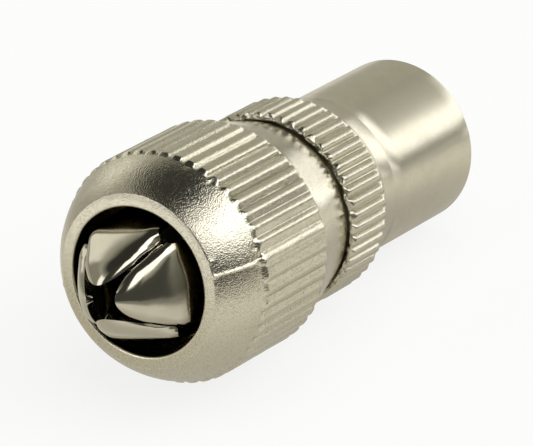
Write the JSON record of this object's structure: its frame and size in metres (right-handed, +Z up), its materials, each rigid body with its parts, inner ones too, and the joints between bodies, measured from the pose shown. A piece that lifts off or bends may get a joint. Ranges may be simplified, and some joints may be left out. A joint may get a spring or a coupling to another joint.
{
  "type": "coaxial plug",
  "caption": "Metal coaxial aerial plug with knurled screw-on clamping cap, leaf-fingered cable claw, hollow barrel and centre pin.",
  "frame": {"origin": "centre of the barrel's free end, where its straight outer wall stops", "axes": "the plug lies on its side: +Z up, +X level above the plug's axis from the cap towards the barrel, +Y to the left of +X; the axis dips 5.6 degrees below +X, because the cap is wider than the barrel"},
  "size_m": [0.0338, 0.013, 0.0136],
  "materials": {
    "cap_plating": "bright nickel plating over a fine cast grain",
    "claw_plating": "polished nickel plating on pressed sheet",
    "body_plating": "satin nickel plating with fine turning lines",
    "insulator_plastic": "moulded off-white plastic",
    "pin_plating": "bright nickel plating"
  },
  "bodies": {
    "plug": {"barrel_body": "body_plating", "insulator": "insulator_plastic", "centre_pin": "pin_plating"},
    "claw": {"cable_claw": "claw_plating"},
    "cap": {"clamping_cap": "cap_plating"}
  },
  "joints": [
    {"name": "claw_travel", "type": "slide", "parent": "plug", "child": "claw", "axis": [-0.9952, 0, 0.0979], "range_m": [-0.0002, 0.0068]},
    {"name": "cap_turn", "type": "hinge", "parent": "claw", "child": "cap", "pos_m": [-0.02213, 0, 0.00218], "axis": [-0.9952, 0, 0.0979], "range_deg": [-90, 3240]}
  ],
  "couplings": [
    {"joint": "claw_travel", "follows": "cap_turn", "m_per_rad": 0.00011937}
  ]
}
